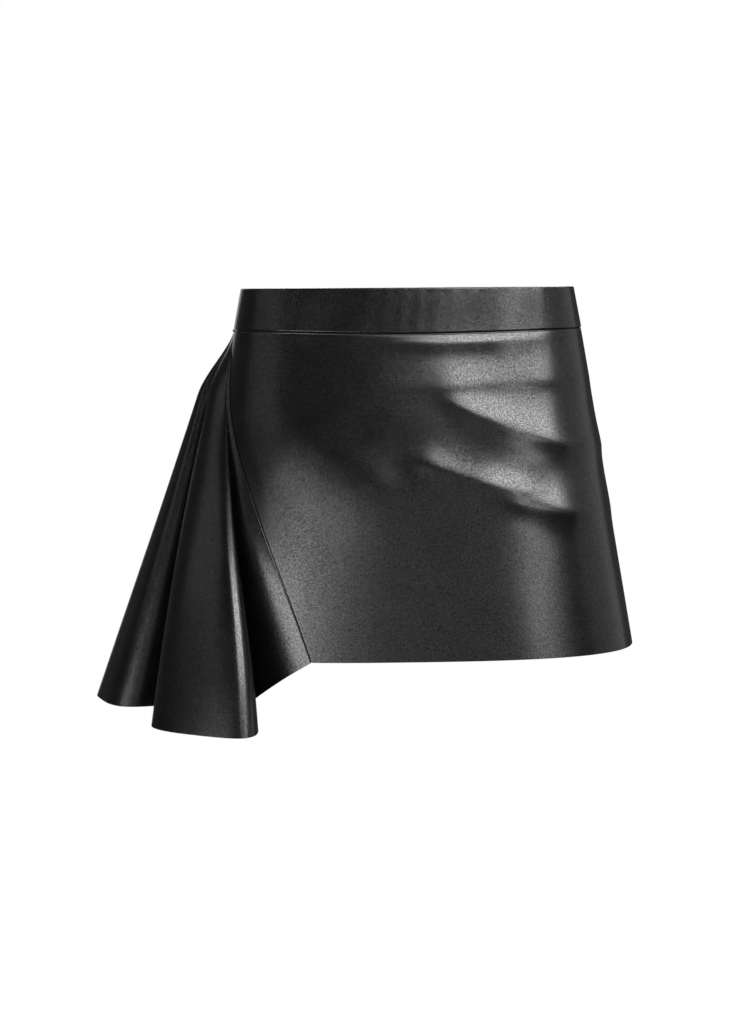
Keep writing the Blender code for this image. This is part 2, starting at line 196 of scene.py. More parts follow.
def hem_drop(angle):
    return SKIRT_LENGTH - HEM_RISE * (1 - np.cos(np.radians(angle))) / 2


def normals_of(points):
    """Outward unit normals of a grid whose rows go down and whose columns go round by the front."""
    return unit(np.cross(np.gradient(points, axis=0), np.gradient(points, axis=1)))


def fold_line(fold, down):
    """The points those shares of the way down one fold line of the flounce."""
    drop = BAND_HEIGHT + SEAM_GAP / 2 + (fold["hem"] - BAND_HEIGHT - SEAM_GAP / 2) * down

    def figure_at(level):
        shoulder = SHOULDER_RISE * smooth((drop - BAND_HEIGHT) / SHOULDER_DEPTH) * (1 - fold["share"] ** 2)
        return figure_points(fold["share"] * flounce_seam_at(level), level, shoulder)

    def lift(level):
        t = (level - fold["starts"]) / (fold["hem"] - fold["starts"])
        return t + np.hypot(t, FOLD_START_SOFTNESS)

    leaves = (lift(drop) - lift(BAND_HEIGHT)) / (lift(fold["hem"]) - lift(BAND_HEIGHT))
    end = np.array([fold["x"], fold["y"], BAND_HEIGHT / 2 - fold["hem"]])
    return figure_at(drop) + leaves[..., None] * (end - figure_at(fold["hem"]))


def seam_place(side, down):
    """The angle and drop of the flounce's sewn edge: side is 1 at the front and -1 at the back."""
    top = BAND_HEIGHT + SEAM_GAP / 2
    drop = top + (hem_drop(flounce_seam_at(SKIRT_LENGTH)) - top) * down
    angle = flounce_seam_at(drop)
    return side * (angle - turn_for(SEAM_GAP / 2, angle, drop)), drop


def spline_weights(count, at):
    """Rows of weights that draw a clamped cubic B-spline from count control points, at places from 0 to 1."""
    degree = 3
    knots = np.concatenate([np.zeros(degree), np.linspace(0, 1, count - degree + 1), np.ones(degree)])
    u = np.clip(np.asarray(at), 0, 1 - 1e-9)[:, None]
    basis = ((knots[:-1] <= u) & (u < knots[1:])).astype(float)
    for d in range(1, degree + 1):
        raised = np.zeros((len(u), basis.shape[1] - 1))
        for i in range(raised.shape[1]):
            if knots[i + d] > knots[i]:
                raised[:, i] += (u[:, 0] - knots[i]) / (knots[i + d] - knots[i]) * basis[:, i]
            if knots[i + d + 1] > knots[i + 1]:
                share = (knots[i + d + 1] - u[:, 0]) / (knots[i + d + 1] - knots[i + 1])
                raised[:, i] += share * basis[:, i + 1]
        basis = raised
    return basis


# --- shells -----------------------------------------------------------------------------------------------
STITCH_PITCH = 0.0024
STITCH_LENGTH = 0.0017
STITCH_INSET = 0.0017  # from the waist seam
THREAD_RADIUS = 0.00022
STITCH_GROOVE = 0.00016
STITCH_GROOVE_WIDTH = 0.0005
EDGE_ROLL = 0.0013  # how far from a seam the leather starts to turn in
EDGE_SINK = 0.0009  # how deep the turned edge goes
EDGE_POWER = 2.2  # 2 is a round edge, and more a squarer one
EDGE_STEPS = (0.0, 0.12, 0.3, 0.6, 1.0, 1.6)  # where the fine columns beside an edge lie, in rolls
SEAM_ROWS = (0, 0.00015, 0.0004, 0.0008, 0.0012, 0.0015, 0.0017, 0.0019, 0.0022, 0.003)  # below the seam
PANEL_STEP = 0.0021
SHELL_SHARP_ANGLE, PART_SHARP_ANGLE = 50, 40


def spaced(length):
    """Shares from 0 to 1 along a length, with finer ones beside its rolled ends."""
    near = [EDGE_ROLL * step / length for step in EDGE_STEPS]
    far = [1 - share for share in reversed(near)]
    count = int(round((far[0] - near[-1]) * length / PANEL_STEP))
    return np.array(near[:-1] + list(np.linspace(near[-1], far[0], count + 1)) + far[1:])


def below_seam(length, step):
    """Shares from 0 at the waist seam to 1 at the hem, with fine rows as far as the stitches."""
    near = [row / length for row in SEAM_ROWS]
    return np.array(near[:-1] + list(np.linspace(near[-1], 1, int(round(length / step)))))


def rounded(distance, reach, depth, power=2):
    """How far in a turned edge lies at that distance from its end: depth at 0, and nothing past its reach."""
    t = 1 - np.clip(distance / reach, 0, 1)
    return depth * (1 - np.sqrt(np.maximum(0.0, 1 - t**power)))


def roll(distance):
    return rounded(distance, EDGE_ROLL, EDGE_SINK, EDGE_POWER)


def rolled_ends(across, whole):
    """The roll beside both ends of a row, at those lengths along it."""
    return np.maximum(roll(across), roll(whole - across))


def stitched(distance):
    """The roll beside the waist seam, with the groove that the stitches pull in."""
    return roll(distance) + STITCH_GROOVE * np.exp(-(((distance - STITCH_INSET) / STITCH_GROOVE_WIDTH) ** 2))


CREST_SOFTNESS = 0.12  # of a flank
# In lengths of the crease: how far it runs on past its two ends, and the stretch over which it fades there.
CREASE_BEFORE, CREASE_PAST = 0.18, 0.32
CREASE_START_FADE, CREASE_END_FADE = 0.45, 0.52


def crease_rise(creases, x, drop):
    """How far the creases push the leather out, at places seen from the front or the back."""
    rise = np.zeros_like(x)
    for row in creases:
        c = dict(zip(CREASE_COLUMNS, row))
        run = np.array([c["x1"] - c["x0"], c["drop1"] - c["drop0"]])
        length = np.hypot(*run)
        along = ((x - c["x0"]) * run[0] + (drop - c["drop0"]) * run[1]) / length**2
        off = (run[0] * (drop - c["drop0"]) - run[1] * (x - c["x0"])) / length
        off = off - c["bow"] * 4 * along * (1 - along)
        steps = np.hypot(off / np.where(off < 0, c["above"], c["below"]), CREST_SOFTNESS)
        start = smooth((along + CREASE_BEFORE) / CREASE_START_FADE)
        end = smooth((1 + CREASE_PAST - along) / CREASE_END_FADE)
        rise += c["rise"] * (start * end) * np.exp(-(steps ** c["power"]))
    return rise


def lengths_along(points, axis):
    """Running length along rows or columns of a grid of points."""
    steps = np.linalg.norm(np.diff(points, axis=axis), axis=-1)
    zero = np.zeros_like(np.take(steps, [0], axis=axis))
    return np.cumsum(np.concatenate([zero, steps], axis=axis), axis=axis)


def placed(name, data):
    """A new object in the scene."""
    made = bpy.data.objects.new(name, data)
    bpy.context.scene.collection.objects.link(made)
    return made


def finished(name, mesh, sharp_angle):
    """The object of a mesh, shaded smooth up to an angle, with its faces turned outward."""
    mesh.shade_smooth()
    mesh.set_sharp_from_angle(angle=math.radians(sharp_angle))
    mesh.validate()
    bm = bmesh.new()
    bm.from_mesh(mesh)
    bmesh.ops.recalc_face_normals(bm, faces=bm.faces)
    bm.to_mesh(mesh)
    bm.free()
    return placed(name, mesh)


def shell(name, outer, inner, materials):
    """A closed shell between two grids of points. The second material is its inner face's."""
    rows, columns, _ = outer.shape
    count = rows * columns
    grid = np.arange(count).reshape(rows, columns)
    a, b, c, d = grid[:-1, :-1], grid[1:, :-1], grid[1:, 1:], grid[:-1, 1:]
    front = np.stack([a, b, c, d], axis=-1).reshape(-1, 4)
    rim = np.concatenate([grid[0, :], grid[1:, -1], grid[-1, -2::-1], grid[-2:0:-1, 0]])
    after = np.roll(rim, -1)
    edge = np.stack([rim, after, after + count, rim + count], axis=-1)
    faces = np.concatenate([front, front[:, ::-1] + count, edge])
    points = np.concatenate([outer.reshape(-1, 3), inner.reshape(-1, 3)])
    mesh = bpy.data.meshes.new(name)
    mesh.from_pydata(points.tolist(), [], faces.tolist())
    for material in materials:
        mesh.materials.append(material)
    inside = np.zeros(len(faces), dtype=np.int32)
    inside[len(front) : 2 * len(front)] = 1
    mesh.polygons.foreach_set("material_index", inside)
    return finished(name, mesh, SHELL_SHARP_ANGLE)


def flat_of(outer):
    """The cut of a grid: its greatest width and length, and its area."""
    across = lengths_along(outer, 1)[:, -1].max()
    down = lengths_along(outer, 0)[-1, :].max()
    diagonals = np.cross(outer[1:, 1:] - outer[:-1, :-1], outer[1:, :-1] - outer[:-1, 1:])
    area = np.linalg.norm(diagonals, axis=-1).sum() / 2
    return (float(across), float(down)), float(area)


def sheet_piece(name, node, outer, inner, materials):
    """A sheet of the skirt, whose cut is worked out but not passed on. node is the solid that it stands for,
    if any.
    """
    piece = shell(name, outer, inner, materials)
    if node:
        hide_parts(node)
    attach(piece, SKIRT_BODY)
    flat, area = flat_of(outer)


# --- the pieces -------------------------------------------------------------------------------------------
CREASE_FREE = 0.0022  # the creases start this far below the waist seam
CREASE_GROWTH = 0.006  # and reach their height over this
CREASE_SIDE_FADE = 0.05  # of a panel's width, at both its edges
FRONT_WIDTH, BACK_LEFT_WIDTH, BACK_RIGHT_WIDTH = 0.42, 0.27, 0.17  # what the columns are spaced for


def panel(name, node, angles_at, width, creases, materials):
    """A skirt panel from the waist seam to the hem. angles_at gives its two edges' angles at a drop."""
    share = spaced(width)[None, :]
    down = below_seam(SKIRT_LENGTH - BAND_HEIGHT, PANEL_STEP)[:, None]

    def angle_at(drop):
        first, last = angles_at(drop)
        return first + (last - first) * share

    top = waist_seam_drop(angle_at(BAND_HEIGHT)) + SEAM_GAP / 2
    bottom = hem_drop(angle_at(SKIRT_LENGTH))
    drop = top + (bottom - top) * down
    angle = angle_at(drop)
    base = figure_points(angle, drop)
    fade = smooth((drop - top - CREASE_FREE) / CREASE_GROWTH) * smooth(share / CREASE_SIDE_FADE)
    fade = fade * smooth((1 - share) / CREASE_SIDE_FADE)
    formed = figure_points(angle, drop, fade * crease_rise(creases, base[..., 0], drop))
    normals = normals_of(formed)
    whole = lengths_along(base, 1)[:, -1:]
    sink = np.maximum(rolled_ends(share * whole, whole), stitched(drop - top))
    outer = formed - normals * sink[..., None]
    sheet_piece(name, node, outer, formed - normals * LEATHER, materials)


def front_edges(drop):
    gap = SEAM_GAP / 2
    start = flounce_seam_at(drop)
    return start + turn_for(gap, start, drop), LEFT_SIDE - turn_for(gap, LEFT_SIDE, drop)


def left_back_edges(drop):
    gap = SEAM_GAP / 2
    return LEFT_SIDE + turn_for(gap, LEFT_SIDE, drop), CENTRE_BACK - turn_for(gap, CENTRE_BACK, drop)


def right_back_edges(drop):
    gap = SEAM_GAP / 2
    end = RIGHT_SIDE - flounce_seam_at(drop)
    return CENTRE_BACK + turn_for(gap, CENTRE_BACK, drop), end - turn_for(gap, end, drop)


BAND_TOP_ROUND = 0.0013  # the fold over the top edge
BAND_SEAM_ROUND = 0.0008
BAND_ROUND = 0.86  # right round, as its columns are spaced for
BAND_ROWS = ((0, 0.09, 9), (0.13, 0.93, 18), (0.95, 1, 6))  # shares of its height: from, to, how many
MOTTLE_HEIGHT = 0.0001
MOTTLE_TURN, MOTTLE_SLOW_TURN = 0.5, 0.23  # radians of a wave for each degree round
MOTTLE_SLANT = 60  # radians for each metre down
MOTTLE_SHIFT = 1.0
MOTTLE_FADE = 0.006


def band_mottle(angle, drop):
    """The band's slight unevenness: two waves round it, which fade out at its top edge."""
    slanted = np.sin(angle * MOTTLE_TURN + MOTTLE_SLANT * drop)
    slow = np.sin(angle * MOTTLE_SLOW_TURN + MOTTLE_SHIFT)
    return MOTTLE_HEIGHT * slanted * slow * smooth(drop / MOTTLE_FADE)


def band(name, node, first, last, materials):
    """A piece of the waistband: folded over at the top, turned in at the seam below and at its ends."""
    share = spaced((last - first) / 360 * BAND_ROUND)[None, :]
    rows = np.concatenate([np.linspace(*run) for run in BAND_ROWS])
    angle = first + (last - first) * share
    seam = waist_seam_drop(angle) - SEAM_GAP / 2
    drop = seam * rows[:, None]
    base = figure_points(angle, drop, BAND_PROUD)
    normals = normals_of(base)
    whole = lengths_along(base, 1)[:, -1:]
    over = rounded(drop, BAND_TOP_ROUND, BAND_TOP_ROUND)
    under = rounded(seam - drop, BAND_SEAM_ROUND, BAND_SEAM_ROUND)
    sink = np.maximum(rolled_ends(share * whole, whole), over + under)
    outer = base + normals * (band_mottle(angle, drop) - sink)[..., None]
    inner = base - normals * (BAND_WALL - over)[..., None]
    sheet_piece(name, node, outer, inner, materials)


def flounce_folds():
    """The flounce's fold lines round from its front seam to its back seam."""
    front = [dict(zip(FOLD_COLUMNS, row)) for row in FLOUNCE_FOLDS]
    back = [{**fold, "share": -fold["share"], "y": -fold["y"]} for fold in reversed(front)]
    return front + [dict(zip(FOLD_COLUMNS, SIDE_LOBE_CREST))] + back


def flounce_form(down, at):
    """Rows of points, those shares of the way down, and columns at places from 0 to 1 round the flounce."""
    lines = [figure_points(*seam_place(1, down))]
    lines += [fold_line(fold, down) for fold in flounce_folds()]
    lines += [figure_points(*seam_place(-1, down))]
    return np.einsum("ck,krx->rcx", spline_weights(len(lines), at), np.array(lines))


FLOUNCE_COLUMNS = 420
FLOUNCE_STEP = 0.0036
FLOUNCE_LENGTH = 0.34
FLOUNCE_EDGE_STEP = 0.0011  # an edge step, as a share of the way round


def flounce(name, node, materials):
    """The flared insert, gathered into its folds."""
    down = below_seam(FLOUNCE_LENGTH, FLOUNCE_STEP)
    near = np.array(EDGE_STEPS) * FLOUNCE_EDGE_STEP
    at = np.concatenate([near[:-1], np.linspace(near[-1], 1 - near[-1], FLOUNCE_COLUMNS), 1 - near[-2::-1]])
    formed = flounce_form(down, at)
    normals = -normals_of(formed)
    normals[:, 0] = figure_normals(*seam_place(1, down))
    normals[:, -1] = figure_normals(*seam_place(-1, down))
    across = lengths_along(formed, 1)
    sink = np.maximum(rolled_ends(across, across[:, -1:]), stitched(lengths_along(formed, 0)))
    outer = formed - normals * sink[..., None]
    sheet_piece(name, node, outer, formed - normals * LEATHER, materials)


# --- stitches and the zip ---------------------------------------------------------------------------------
THREAD_SIDES = 6
# Rings of a stitch: how far along it, in its lengths, and its height and thickness there, in thread radii.
STITCH_RINGS = (
    (-0.50, -0.90, 0.55),
    (-0.36, -0.20, 0.90),
    (-0.12, 0.35, 1.00),
    (0.12, 0.35, 1.00),
    (0.36, -0.20, 0.90),
    (0.50, -0.90, 0.55),
)
PANEL_PATH_POINTS, FLOUNCE_PATH_POINTS = 160, 120
BELOW_STITCHES = 0.012  # of the flounce's length
SIDEWAYS = (1.0, 0.0, 0.0)


def made_of(name, points, faces, material):
    """An object from a list of points and faces."""
    mesh = bpy.data.meshes.new(name)
    mesh.from_pydata([tuple(p) for p in points], [], faces)
    mesh.materials.append(material)
    return finished(name, mesh, PART_SHARP_ANGLE)


def tube(points, faces, centres, radii, sideways, upward, sides):
    """Adds a capped tube through the centres to the lists of points and faces."""
    start = len(points)
    for centre, radius, side, up in zip(centres, radii, sideways, upward):
        for k in range(sides):
            turn = math.tau * k / sides
            points.append(centre + radius * (math.cos(turn) * side + math.sin(turn) * up))
    for ring in range(len(centres) - 1):
        for k in range(sides):
            a, b = start + ring * sides + k, start + ring * sides + (k + 1) % sides
            faces.append((a, b, b + sides, a + sides))
    faces.append(tuple(range(start + sides - 1, start - 1, -1)))
    last = start + (len(centres) - 1) * sides
    faces.append(tuple(range(last, last + sides)))


def sample(points, lengths, at):
    """The points that lie those lengths along a run of points."""
    return np.stack([np.interp(at, lengths, points[:, i]) for i in range(3)], axis=-1)


def stitches(points, faces, path, normals):
    """Adds a row of stitches along a path, each bedded in the leather at both ends."""
    lengths = lengths_along(path, 0)
    count = int(lengths[-1] / STITCH_PITCH)
    first = (lengths[-1] - (count - 1) * STITCH_PITCH) / 2
    along, height, thickness = np.array(STITCH_RINGS).T
    lift = (height * THREAD_RADIUS - STITCH_GROOVE)[:, None]
    radii = thickness * THREAD_RADIUS
    for i in range(count):
        at = first + i * STITCH_PITCH + along * STITCH_LENGTH
        centre = sample(path, lengths, at)
        up = unit(sample(normals, lengths, at))
        run = unit(np.gradient(centre, axis=0))
        tube(points, faces, centre + up * lift, radii, np.cross(run, up), up, THREAD_SIDES)


def waist_stitches(material):
    """The row of stitches below the waistband, right round the skirt."""
    points, faces = [], []
    for edges in (front_edges, left_back_edges, right_back_edges):
        angle = np.linspace(*edges(BAND_HEIGHT + STITCH_INSET), PANEL_PATH_POINTS)
        drop = waist_seam_drop(angle) + SEAM_GAP / 2 + STITCH_INSET
        stitches(points, faces, figure_points(angle, drop), figure_normals(angle, drop))
    down = np.array([0, STITCH_INSET / FLOUNCE_LENGTH, BELOW_STITCHES])
    above, path, below = flounce_form(down, np.linspace(0, 1, FLOUNCE_PATH_POINTS))
    stitches(points, faces, path, unit(np.cross(np.gradient(path, axis=0), below - above)) * -1)
    piece = made_of("waist_stitches", points, faces, material)
    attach(piece, SKIRT_BODY)


ZIP_TOP = 0.003
ZIP_LENGTH = 0.162
ZIP_TAPE_WIDTH = 0.026
ZIP_TAPE_WALL = 0.0009
TAPE_PARTING = 0.0004
TAPE_COLUMNS, TAPE_ROWS = 12, 90
CORD_ACROSS = 0.0115  # from the zip's middle
CORD_HEIGHT = 0.0003
CORD_SPREAD = 0.0008
COIL_PITCH = 0.0014
COIL_WIDTH = 0.0024
COIL_CENTRE, COIL_REACH = 0.38, 0.62  # of its width: where it lies, and how far it swings to both sides
COIL_HEIGHT = 0.0011
COIL_WIRE = 0.00032
COIL_FIRST = 0.005  # below the tape's top
COIL_SHORTER = 0.012  # than the tape
COIL_TURN_POINTS, COIL_SIDES = 10, 5
ZIP_STOPS = (  # across, drop and width
    (0.0011, ZIP_TOP + 0.003, 0.0016),
    (-0.0011, ZIP_TOP + 0.003, 0.0016),
    (0.0, ZIP_TOP + ZIP_LENGTH - 0.005, 0.0040),
)
STOP_RINGS = ((-0.0016, 0.8), (-0.0013, 1.0), (0.0013, 1.0), (0.0016, 0.8))  # along, and share of the width
STOP_LIFT = 0.0007
STOP_HEIGHT = 0.0011
STOP_SIDES = 12


def zip_surface(across, drop):
    """Points on the outer face of the zip's tape, behind the centre back seam."""
    behind_panel = LEATHER + SEAM_GAP
    behind_band = BAND_WALL - BAND_PROUD + SEAM_GAP
    inset = behind_band + (behind_panel - behind_band) * smooth((drop - BAND_HEIGHT) / ZIP_TAPE_WIDTH)
    return figure_points(CENTRE_BACK + turn_for(across, CENTRE_BACK, drop), drop, -inset)


def zip_tape(side, materials):
    """One of the zip's two tapes, with the thicker cord along its outer edge."""
    across = side * np.linspace(TAPE_PARTING / 2, ZIP_TAPE_WIDTH / 2, TAPE_COLUMNS)[None, ::side]
    drop = (ZIP_TOP + np.linspace(0, ZIP_LENGTH, TAPE_ROWS))[:, None]
    outer = zip_surface(*np.broadcast_arrays(across, drop))
    cord = CORD_HEIGHT * np.exp(-(((np.abs(across) - CORD_ACROSS) / CORD_SPREAD) ** 2))
    wall = ZIP_TAPE_WALL + np.broadcast_to(cord, outer.shape[:2])
    inner = outer - normals_of(outer) * wall[..., None]
    name = "zip_tape_left" if side > 0 else "zip_tape_right"
    sheet_piece(name, "zip_tape", outer, inner, materials)


STAY_WALL = 0.0004
STAY_WIDTH = 0.0112
STAY_PAST = 0.0010  # how far a stay reaches past the seam on the flounce's side
STAY_TOP = BAND_HEIGHT + 0.002
STAY_BELOW_ZIP = 0.0005
STAY_ABOVE_HEM = 0.0008
STAY_COLUMNS, STAY_ROWS = 6, 120


def seam_stay(name, seam_at, before, after, first, materials):
    """A narrow tape stay behind a seam, down to the hem: before and after are its reach to both sides."""
    last = hem_drop(seam_at(SKIRT_LENGTH)) - STAY_ABOVE_HEM
    drop = first + (last - first) * np.linspace(0, 1, STAY_ROWS)[:, None]
    seam = seam_at(drop)
    angle = seam + turn_for(np.linspace(-before, after, STAY_COLUMNS)[None, :], seam, drop)
    outer = figure_points(*np.broadcast_arrays(angle, drop), -(LEATHER + SEAM_GAP / 2))
    inner = outer - normals_of(outer) * STAY_WALL
    sheet_piece(name, None, outer, inner, materials)


def seam_stays(materials):
    """Stays behind the left side seam, the centre back seam and both of the flounce's seams."""

    def left_side(drop):
        return LEFT_SIDE + 0 * drop

    def centre_back(drop):
        return CENTRE_BACK + 0 * drop

    def back_flounce_seam(drop):
        return RIGHT_SIDE - flounce_seam_at(drop)

    half, rest = STAY_WIDTH / 2, STAY_WIDTH - STAY_PAST
    below_zip = ZIP_TOP + ZIP_LENGTH + STAY_BELOW_ZIP
    seam_stay("side_seam_stay", left_side, half, half, STAY_TOP, materials)
    seam_stay("back_seam_stay", centre_back, half, half, below_zip, materials)
    seam_stay("front_flounce_stay", flounce_seam_at, STAY_PAST, rest, STAY_TOP, materials)
    seam_stay("back_flounce_stay", back_flounce_seam, rest, STAY_PAST, STAY_TOP, materials)


def coil_row(points, faces, side):
    """Adds one tape's coil. The two lie half a pitch apart, so that their turns interlock."""
    turns = int((ZIP_LENGTH - COIL_SHORTER) / COIL_PITCH)
    t = np.linspace(0, turns, turns * COIL_TURN_POINTS + 1)
    drop = ZIP_TOP + COIL_FIRST + t * COIL_PITCH + (side > 0) * COIL_PITCH / 2
    across = side * (COIL_WIDTH * COIL_CENTRE - COIL_WIDTH * COIL_REACH * np.cos(math.tau * t))
    depth = ZIP_TAPE_WALL + COIL_WIRE + COIL_HEIGHT * (0.5 + 0.5 * np.sin(math.tau * t))
    inward = -figure_normals(CENTRE_BACK, drop)
    centres = zip_surface(across, drop) + inward * depth[:, None]
    run = unit(np.gradient(centres, axis=0))
    aside = unit(np.cross(run, inward))
    tube(points, faces, centres, np.full(len(t), COIL_WIRE), aside, np.cross(aside, run), COIL_SIDES)


def zip_stop(points, faces, across, drop, width):
    """Adds a stop clamped on the tapes' inner face."""
    along, share = np.array(STOP_RINGS).T
    inward = -figure_normals(CENTRE_BACK, drop + along)
    centres = zip_surface(np.full(len(along), across), drop + along) + inward * (ZIP_TAPE_WALL + STOP_LIFT)
    sideways = np.tile(SIDEWAYS, (len(along), 1))
    tube(points, faces, centres, share * width / 2, sideways, inward * STOP_HEIGHT / (width / 2), STOP_SIDES)


def zip_coil(material):
    """The two interlocked coils sewn to the inner face of the tapes, and their stops."""
    points, faces = [], []
    for side in (1, -1):
        coil_row(points, faces, side)
    for across, drop, width in ZIP_STOPS:
        zip_stop(points, faces, across, drop, width)
    piece = made_of("zip_coil", points, faces, material)
    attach(piece, SKIRT_BODY)


PULL_DROP = 0.0065
SLIDER_WIDTH = 0.0070
SLIDER_WALL = 0.0014
SLIDER_ABOVE = 0.0045
SLIDER_BELOW = 0.0050
SLIDER_POINTS = 40
SLIDER_POWER = 3.2  # 2 is an oval plate, and more a squarer one
SLIDER_WAIST = 0.14
SLIDER_WAIST_AT, SLIDER_WAIST_SPREAD = -0.15, 0.12  # in half heights of the plate
SLIDER_TAPER = 0.12
SLIDER_RINGS = (  # from the plate's back to its crown: a share of the outline, and a depth
    (0.96, SLIDER_WALL),
    (1.00, SLIDER_WALL - 0.0003),
    (1.00, 0.0005),
    (0.93, 0.0002),
    (0.80, 0.0001),
    (0.45, 0.0),
    (0.15, 0.0),
)
BAIL_WIDTH = 0.0020
BAIL_WALL = 0.0008
BAIL_CLEARANCE = 0.0011
BAIL_BELOW = 0.0019
BAIL_TUCK = 0.12  # radians past a half turn at both ends, inside the plate
BAIL_FLATNESS = 0.9
BAIL_POINTS, BAIL_SIDES = 25, 10
CROSSBAR_RADIUS = 0.0006
PULL_LEVELS = (0.0, 0.0006, 0.0014, 0.0026, 0.0040, 0.0048, 0.0062, 0.0080, 0.0104, 0.0128, 0.0152)
PULL_LEVELS += (0.0176, 0.0198, 0.0214, 0.0228, 0.0236, 0.0240)
PULL_SHARES = (-1.0, -0.86, -0.54, 0.0, 0.54, 0.86, 1.0)  # of its half width
PULL_HOLE_TOP, PULL_HOLE_END, PULL_HOLE_SHARE = 0.0014, 0.0040, 0.54
PULL_RIM = 0.55  # of its thickness
PULL_TOP_LEAST = 0.05  # keeps its rounded top end from closing to an edge
PULL_DISH = 0.00016
PULL_DISH_WIDTH = 0.7
PULL_DISH_TOP, PULL_DISH_END = 0.006, 0.0230
PULL_ROUNDING = 2
PULL_COLUMNS = ("below", "half_width")
PULL_OUTLINE = (
    (0.0000, 0.0025),
    (0.0045, 0.0025),
    (0.0080, 0.0023),
    (0.0140, 0.0027),
    (0.0200, 0.0032),
    (0.0228, 0.0029),
    (0.0240, 0.0018),
)


def on_band(points):
    """Takes points made round the pull's crossbar, facing +Y, to its place on the band's back."""
    above = figure_points(CENTRE_BACK, PULL_DROP - SLIDER_ABOVE, BAND_PROUD)
    below = figure_points(CENTRE_BACK, PULL_DROP + SLIDER_BELOW, BAND_PROUD)
    lean = math.atan2(below[1] - above[1], above[2] - below[2])
    out = SEAM_GAP + SLIDER_WALL + BAIL_CLEARANCE
    _, y, z = figure_points(CENTRE_BACK, PULL_DROP, BAND_PROUD)
    place = Matrix.Translation((0, y + out * math.cos(lean), z + out * math.sin(lean)))
    turn = place @ Matrix.Rotation(lean, 4, "X")
    return [turn @ Vector(p) for p in points]


def slider_outline(share):
    """Places round the slider's plate, drawn in to a share: a squared oval with a waist, narrower below."""
    middle, tall = (SLIDER_ABOVE - SLIDER_BELOW) / 2, (SLIDER_ABOVE + SLIDER_BELOW) / 2
    rows = []
    for k in range(SLIDER_POINTS):
        turn = math.tau * k / SLIDER_POINTS
        c, s = math.cos(turn), math.sin(turn)
        reach = (abs(c) ** SLIDER_POWER + abs(s) ** SLIDER_POWER) ** (-1 / SLIDER_POWER)
        z = reach * s
        waist = SLIDER_WAIST * math.exp(-((z - SLIDER_WAIST_AT) ** 2) / SLIDER_WAIST_SPREAD)
        narrower = 1 - waist - SLIDER_TAPER * max(0.0, -z) ** 2
        rows.append((SLIDER_WIDTH / 2 * reach * c * narrower * share, middle + tall * z * share))
    return rows


def bail(points, faces):
    """Adds the arched wire that holds the pull."""
    arch = np.linspace(-BAIL_TUCK, math.pi + BAIL_TUCK, BAIL_POINTS)
    rise = BAIL_CLEARANCE * 2 + BAIL_WALL / 2
    half = (BAIL_CLEARANCE + BAIL_BELOW) / 2 + BAIL_WALL / 2
    middle = (BAIL_CLEARANCE - BAIL_BELOW) / 2
    centres = [np.zeros(BAIL_POINTS), -BAIL_CLEARANCE + rise * np.sin(arch), middle + half * np.cos(arch)]
    centres = np.stack(centres, axis=-1)
    sideways = np.tile(SIDEWAYS, (BAIL_POINTS, 1))
    wide = sideways * BAIL_FLATNESS * BAIL_WIDTH / BAIL_WALL
    upward = np.cross(unit(np.gradient(centres, axis=0)), sideways)
    tube(points, faces, centres, np.full(BAIL_POINTS, BAIL_WALL / 2), wide, upward, BAIL_SIDES)


def zip_slider(material):
    """A domed plate with a waisted outline, and its bail."""
    points, faces = [], []
    around = SLIDER_POINTS
    for share, depth in SLIDER_RINGS:
        points += [np.array((x, -BAIL_CLEARANCE - depth, z)) for x, z in slider_outline(share)]
    for ring in range(len(SLIDER_RINGS) - 1):
        for k in range(around):
            a, b = ring * around + k, ring * around + (k + 1) % around
            faces.append((a, b, b + around, a + around))
    faces.append(tuple(range(around - 1, -1, -1)))
    last = (len(SLIDER_RINGS) - 1) * around
    faces.append(tuple(range(last, last + around)))
    bail(points, faces)
    piece = made_of("zip_slider_metal", on_band(points), faces, material)
    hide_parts("zip_slider")
    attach(piece, SKIRT_BODY)


def border(top, bottom, left, right):
    """The places round the edge of part of a grid, in order."""
    places = [(i, left) for i in range(top, bottom + 1)]
    places += [(bottom, j) for j in range(left + 1, right + 1)]
    places += [(i, right) for i in range(bottom - 1, top - 1, -1)]
    return places + [(top, j) for j in range(right - 1, left, -1)]


def pull_wall(below, share):
    """Half the tab's thickness: round at the crossbar, thinner at the rim, and dished along its middle."""
    dish = PULL_DISH * (abs(share) < PULL_DISH_WIDTH) * (PULL_DISH_TOP < below < PULL_DISH_END)
    top = max(0.0, 1 - below / CROSSBAR_RADIUS)
    rim = PULL_RIM if abs(share) == 1 else 1.0
    return CROSSBAR_RADIUS * math.sqrt(max(PULL_TOP_LEAST, 1 - top**2)) * rim - dish


